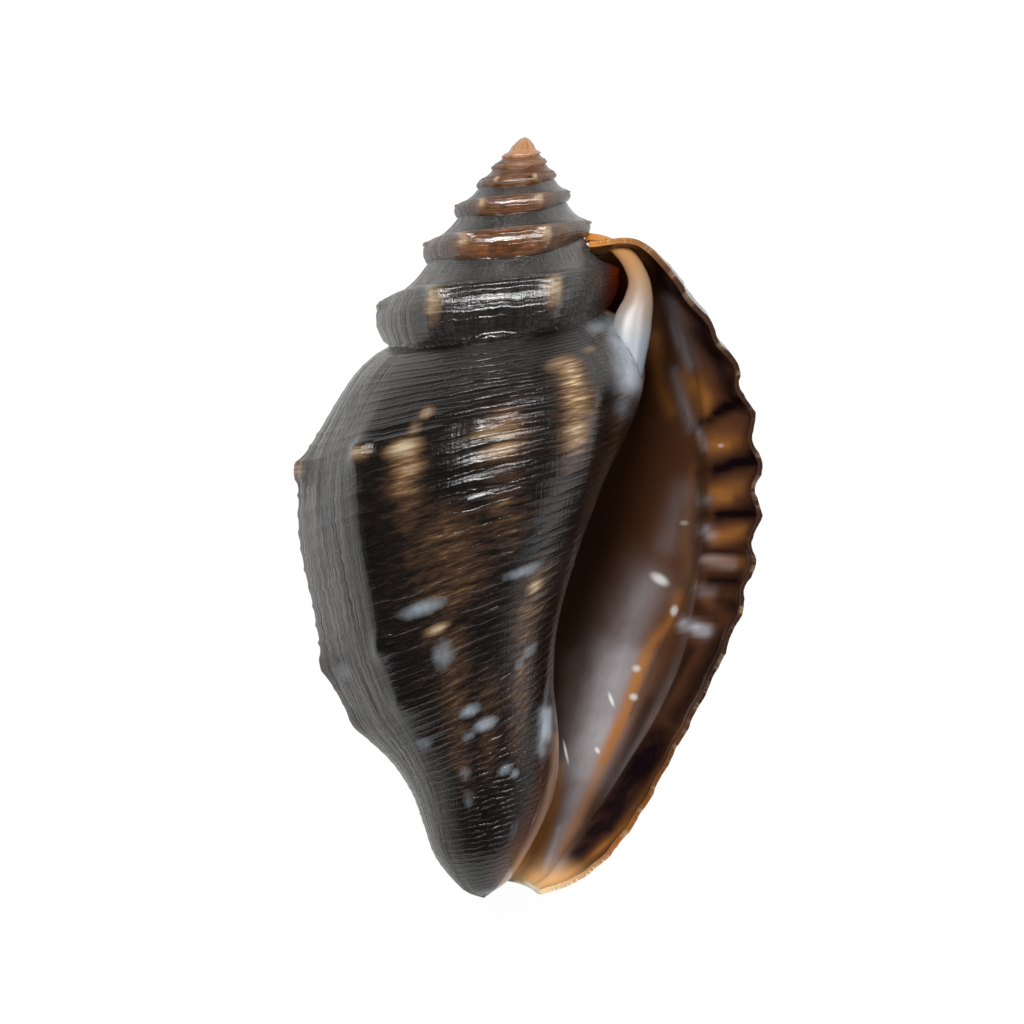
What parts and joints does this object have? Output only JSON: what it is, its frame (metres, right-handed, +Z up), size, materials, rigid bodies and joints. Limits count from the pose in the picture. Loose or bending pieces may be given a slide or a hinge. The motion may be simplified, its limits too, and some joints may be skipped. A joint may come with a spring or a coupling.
{
  "type": "crown conch shell",
  "caption": "Dark, high-spired sea snail shell with knobbed shoulders, a flared crinkled lip, a callus ridge beside the open mouth and a short open canal, lying on its back.",
  "frame": {"origin": "middle of the shell's length and width, on the surface that it lies on", "axes": "+Y towards the apex, +X towards the outer lip, +Z up out of the mouth"},
  "size_m": [0.046, 0.075, 0.0387],
  "materials": {
    "shell": "glossy"
  },
  "bodies": {
    "root": {"shell": "shell"}
  },
  "joints": []
}
